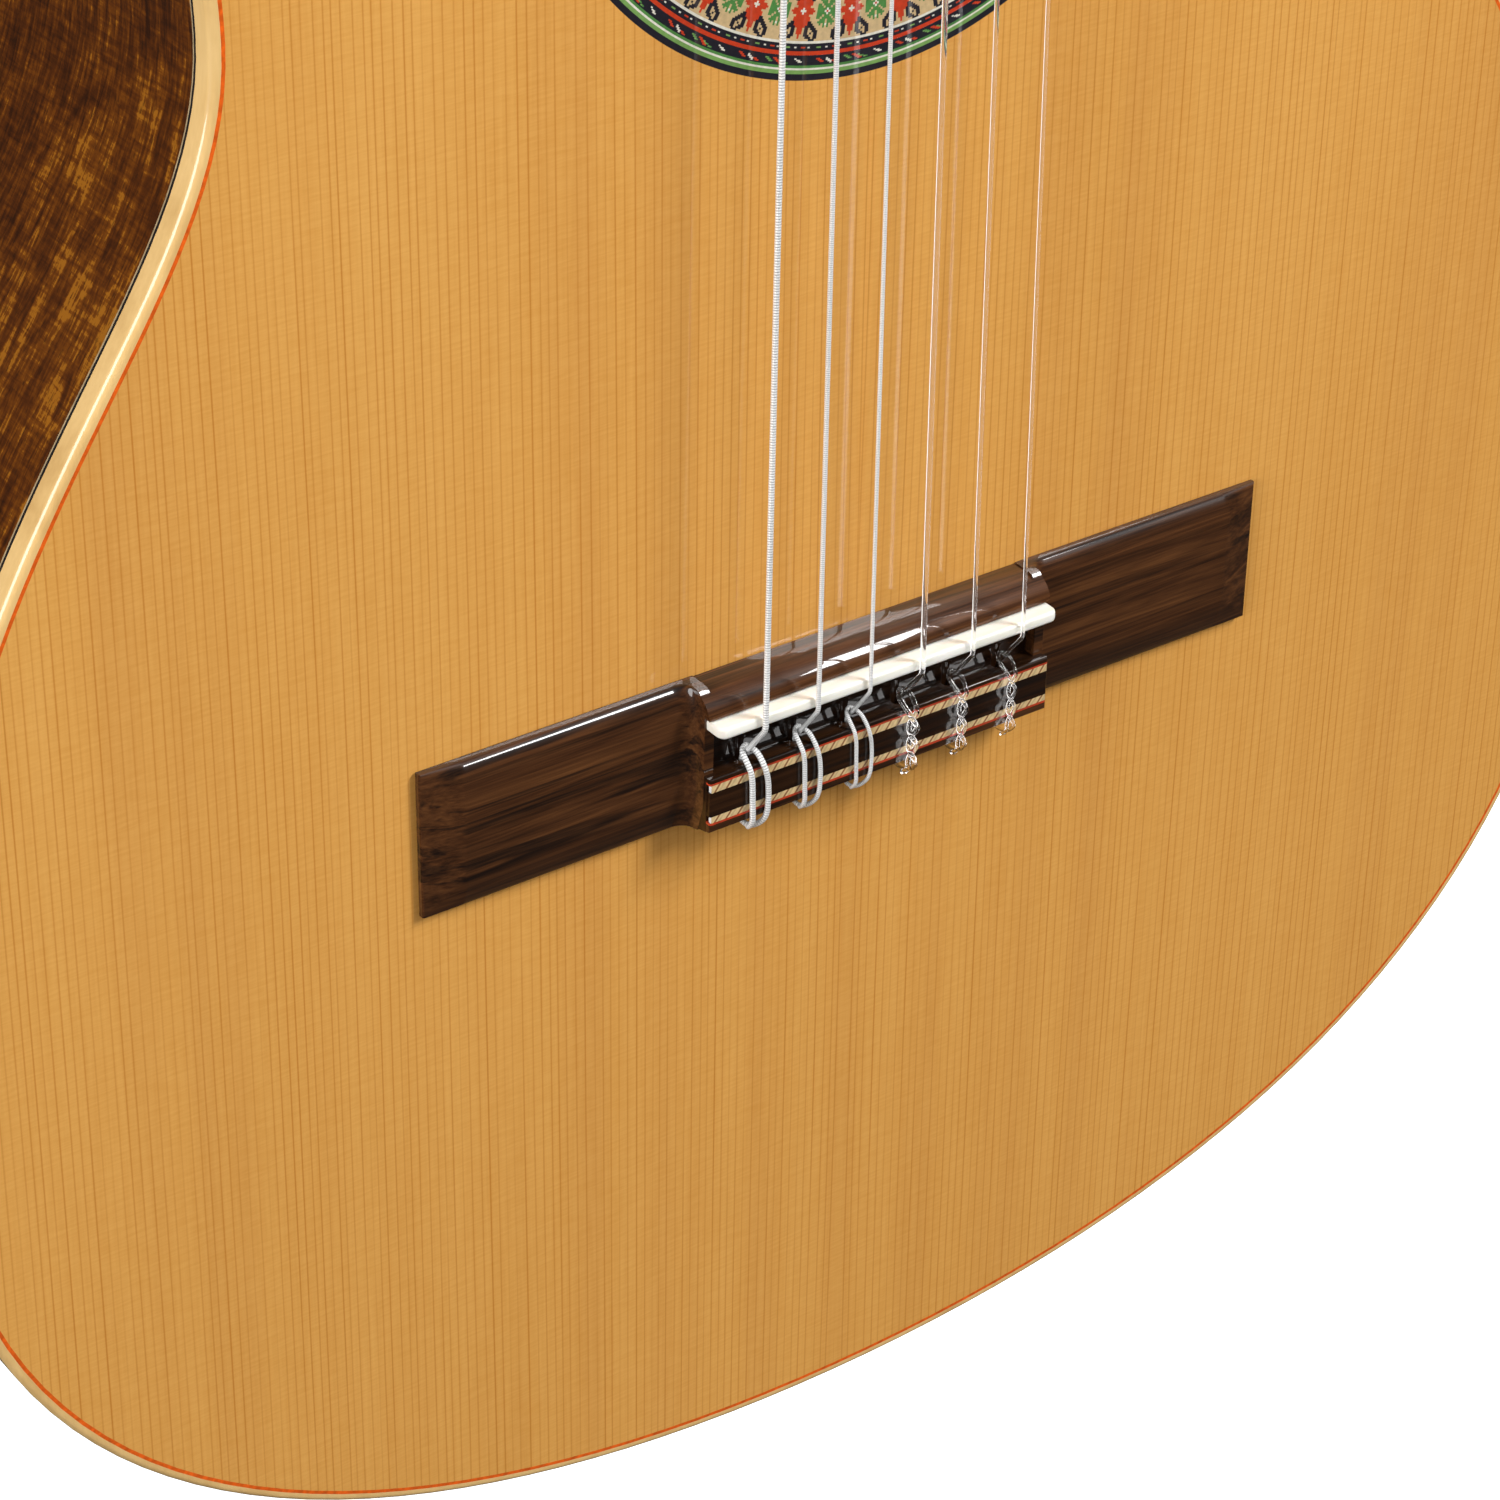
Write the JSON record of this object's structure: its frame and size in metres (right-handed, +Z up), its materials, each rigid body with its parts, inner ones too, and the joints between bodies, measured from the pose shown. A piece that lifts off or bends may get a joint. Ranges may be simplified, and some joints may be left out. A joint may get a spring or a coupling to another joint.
{
  "type": "classical guitar",
  "caption": "Classical guitar with a hollow body, mosaic rosette, tie bridge, fretted neck and slotted headstock with worm-geared tuners that turn.",
  "frame": {"origin": "where a hanger holds the neck: the middle of the neck at the front edge of the nut, on the plane of the soundboard", "axes": "+Z up along the neck towards the headstock, -Y out of the soundboard towards the player, +X towards the treble side"},
  "size_m": [0.3754, 0.1126, 1.0148],
  "materials": {
    "soundboard_wood": "gloss lacquer over straight-grained conifer, amber",
    "back_and_side_wood": "gloss lacquer over dark figured hardwood",
    "binding_maple": "gloss lacquer over pale wood with an orange line",
    "rosette_mosaic": "lacquered mosaic of coloured veneers",
    "lining_wood": "bare wood",
    "brace_wood": "bare spruce",
    "neck_wood": "satin lacquer",
    "fingerboard_wood": "oiled ebony",
    "bridge_wood": "gloss lacquer over streaked rosewood",
    "bone": "polished",
    "tuner_metal": "polished",
    "roller_plastic": "satin",
    "button_plastic": "pearl",
    "wound_string": "silver-plated winding",
    "nylon_string": "clear"
  },
  "bodies": {
    "guitar": {"soundboard": "soundboard_wood", "rosette": "rosette_mosaic", "back_plate": "back_and_side_wood", "side_bass": "back_and_side_wood", "side_treble": "back_and_side_wood", "top_binding": "binding_maple", "back_binding": "binding_maple", "lining_top_bass": "lining_wood", "lining_top_treble": "lining_wood", "lining_back_bass": "lining_wood", "lining_back_treble": "lining_wood", "neck_block": "lining_wood", "tail_block": "lining_wood", "harmonic_bar_upper": "brace_wood", "harmonic_bar_lower": "brace_wood", "fan_brace_1": "brace_wood", "fan_brace_2": "brace_wood", "fan_brace_3": "brace_wood", "fan_brace_4": "brace_wood", "fan_brace_5": "brace_wood", "fan_brace_6": "brace_wood", "fan_brace_7": "brace_wood", "back_brace_1": "brace_wood", "back_brace_2": "brace_wood", "back_brace_3": "brace_wood", "neck": "neck_wood", "heel_cap": "back_and_side_wood", "fingerboard": "fingerboard_wood", "nut": "bone", "headstock": "neck_wood", "headstock_veneer": "bridge_wood", "tuner_plate_bass": "tuner_metal", "tuner_plate_treble": "tuner_metal", "bridge": "bridge_wood", "saddle": "bone", "string_e_low": "wound_string", "string_a": "wound_string", "string_d": "wound_string", "string_g": "nylon_string", "string_b": "nylon_string", "string_e_high": "nylon_string"},
    "tuner_bass_1": {"worm_bass_1": "tuner_metal", "button_bass_1": "button_plastic"},
    "roller_bass_1": {"roller_bass_1": "roller_plastic"},
    "tuner_bass_2": {"worm_bass_2": "tuner_metal", "button_bass_2": "button_plastic"},
    "roller_bass_2": {"roller_bass_2": "roller_plastic"},
    "tuner_bass_3": {"worm_bass_3": "tuner_metal", "button_bass_3": "button_plastic"},
    "roller_bass_3": {"roller_bass_3": "roller_plastic"},
    "tuner_treble_1": {"worm_treble_1": "tuner_metal", "button_treble_1": "button_plastic"},
    "roller_treble_1": {"roller_treble_1": "roller_plastic"},
    "tuner_treble_2": {"worm_treble_2": "tuner_metal", "button_treble_2": "button_plastic"},
    "roller_treble_2": {"roller_treble_2": "roller_plastic"},
    "tuner_treble_3": {"worm_treble_3": "tuner_metal", "button_treble_3": "button_plastic"},
    "roller_treble_3": {"roller_treble_3": "roller_plastic"}
  },
  "joints": [
    {"name": "button_bass_1_turn", "type": "hinge", "parent": "guitar", "child": "tuner_bass_1", "pos_m": [-0.0399, 0.02153, 0.05058], "axis": [0, 0.9659, -0.2588], "continuous": true},
    {"name": "roller_bass_1_turn", "type": "hinge", "parent": "guitar", "child": "roller_bass_1", "pos_m": [0, 0.02371, 0.05869], "axis": [1, 0, 0], "continuous": true},
    {"name": "button_bass_2_turn", "type": "hinge", "parent": "guitar", "child": "tuner_bass_2", "pos_m": [-0.0399, 0.03059, 0.08439], "axis": [0, 0.9659, -0.2588], "continuous": true},
    {"name": "roller_bass_2_turn", "type": "hinge", "parent": "guitar", "child": "roller_bass_2", "pos_m": [0, 0.03276, 0.0925], "axis": [1, 0, 0], "continuous": true},
    {"name": "button_bass_3_turn", "type": "hinge", "parent": "guitar", "child": "tuner_bass_3", "pos_m": [-0.0399, 0.03965, 0.11819], "axis": [0, 0.9659, -0.2588], "continuous": true},
    {"name": "roller_bass_3_turn", "type": "hinge", "parent": "guitar", "child": "roller_bass_3", "pos_m": [0, 0.04182, 0.12631], "axis": [1, 0, 0], "continuous": true},
    {"name": "button_treble_1_turn", "type": "hinge", "parent": "guitar", "child": "tuner_treble_1", "pos_m": [0.0399, 0.02153, 0.05058], "axis": [0, 0.9659, -0.2588], "continuous": true},
    {"name": "roller_treble_1_turn", "type": "hinge", "parent": "guitar", "child": "roller_treble_1", "pos_m": [0, 0.02371, 0.05869], "axis": [1, 0, 0], "continuous": true},
    {"name": "button_treble_2_turn", "type": "hinge", "parent": "guitar", "child": "tuner_treble_2", "pos_m": [0.0399, 0.03059, 0.08439], "axis": [0, 0.9659, -0.2588], "continuous": true},
    {"name": "roller_treble_2_turn", "type": "hinge", "parent": "guitar", "child": "roller_treble_2", "pos_m": [0, 0.03276, 0.0925], "axis": [1, 0, 0], "continuous": true},
    {"name": "button_treble_3_turn", "type": "hinge", "parent": "guitar", "child": "tuner_treble_3", "pos_m": [0.0399, 0.03965, 0.11819], "axis": [0, 0.9659, -0.2588], "continuous": true},
    {"name": "roller_treble_3_turn", "type": "hinge", "parent": "guitar", "child": "roller_treble_3", "pos_m": [0, 0.04182, 0.12631], "axis": [1, 0, 0], "continuous": true}
  ],
  "couplings": [
    {"joint": "roller_bass_1_turn", "follows": "button_bass_1_turn", "ratio": -0.071429},
    {"joint": "roller_bass_2_turn", "follows": "button_bass_2_turn", "ratio": -0.071429},
    {"joint": "roller_bass_3_turn", "follows": "button_bass_3_turn", "ratio": -0.071429},
    {"joint": "roller_treble_1_turn", "follows": "button_treble_1_turn", "ratio": -0.071429},
    {"joint": "roller_treble_2_turn", "follows": "button_treble_2_turn", "ratio": -0.071429},
    {"joint": "roller_treble_3_turn", "follows": "button_treble_3_turn", "ratio": -0.071429}
  ]
}
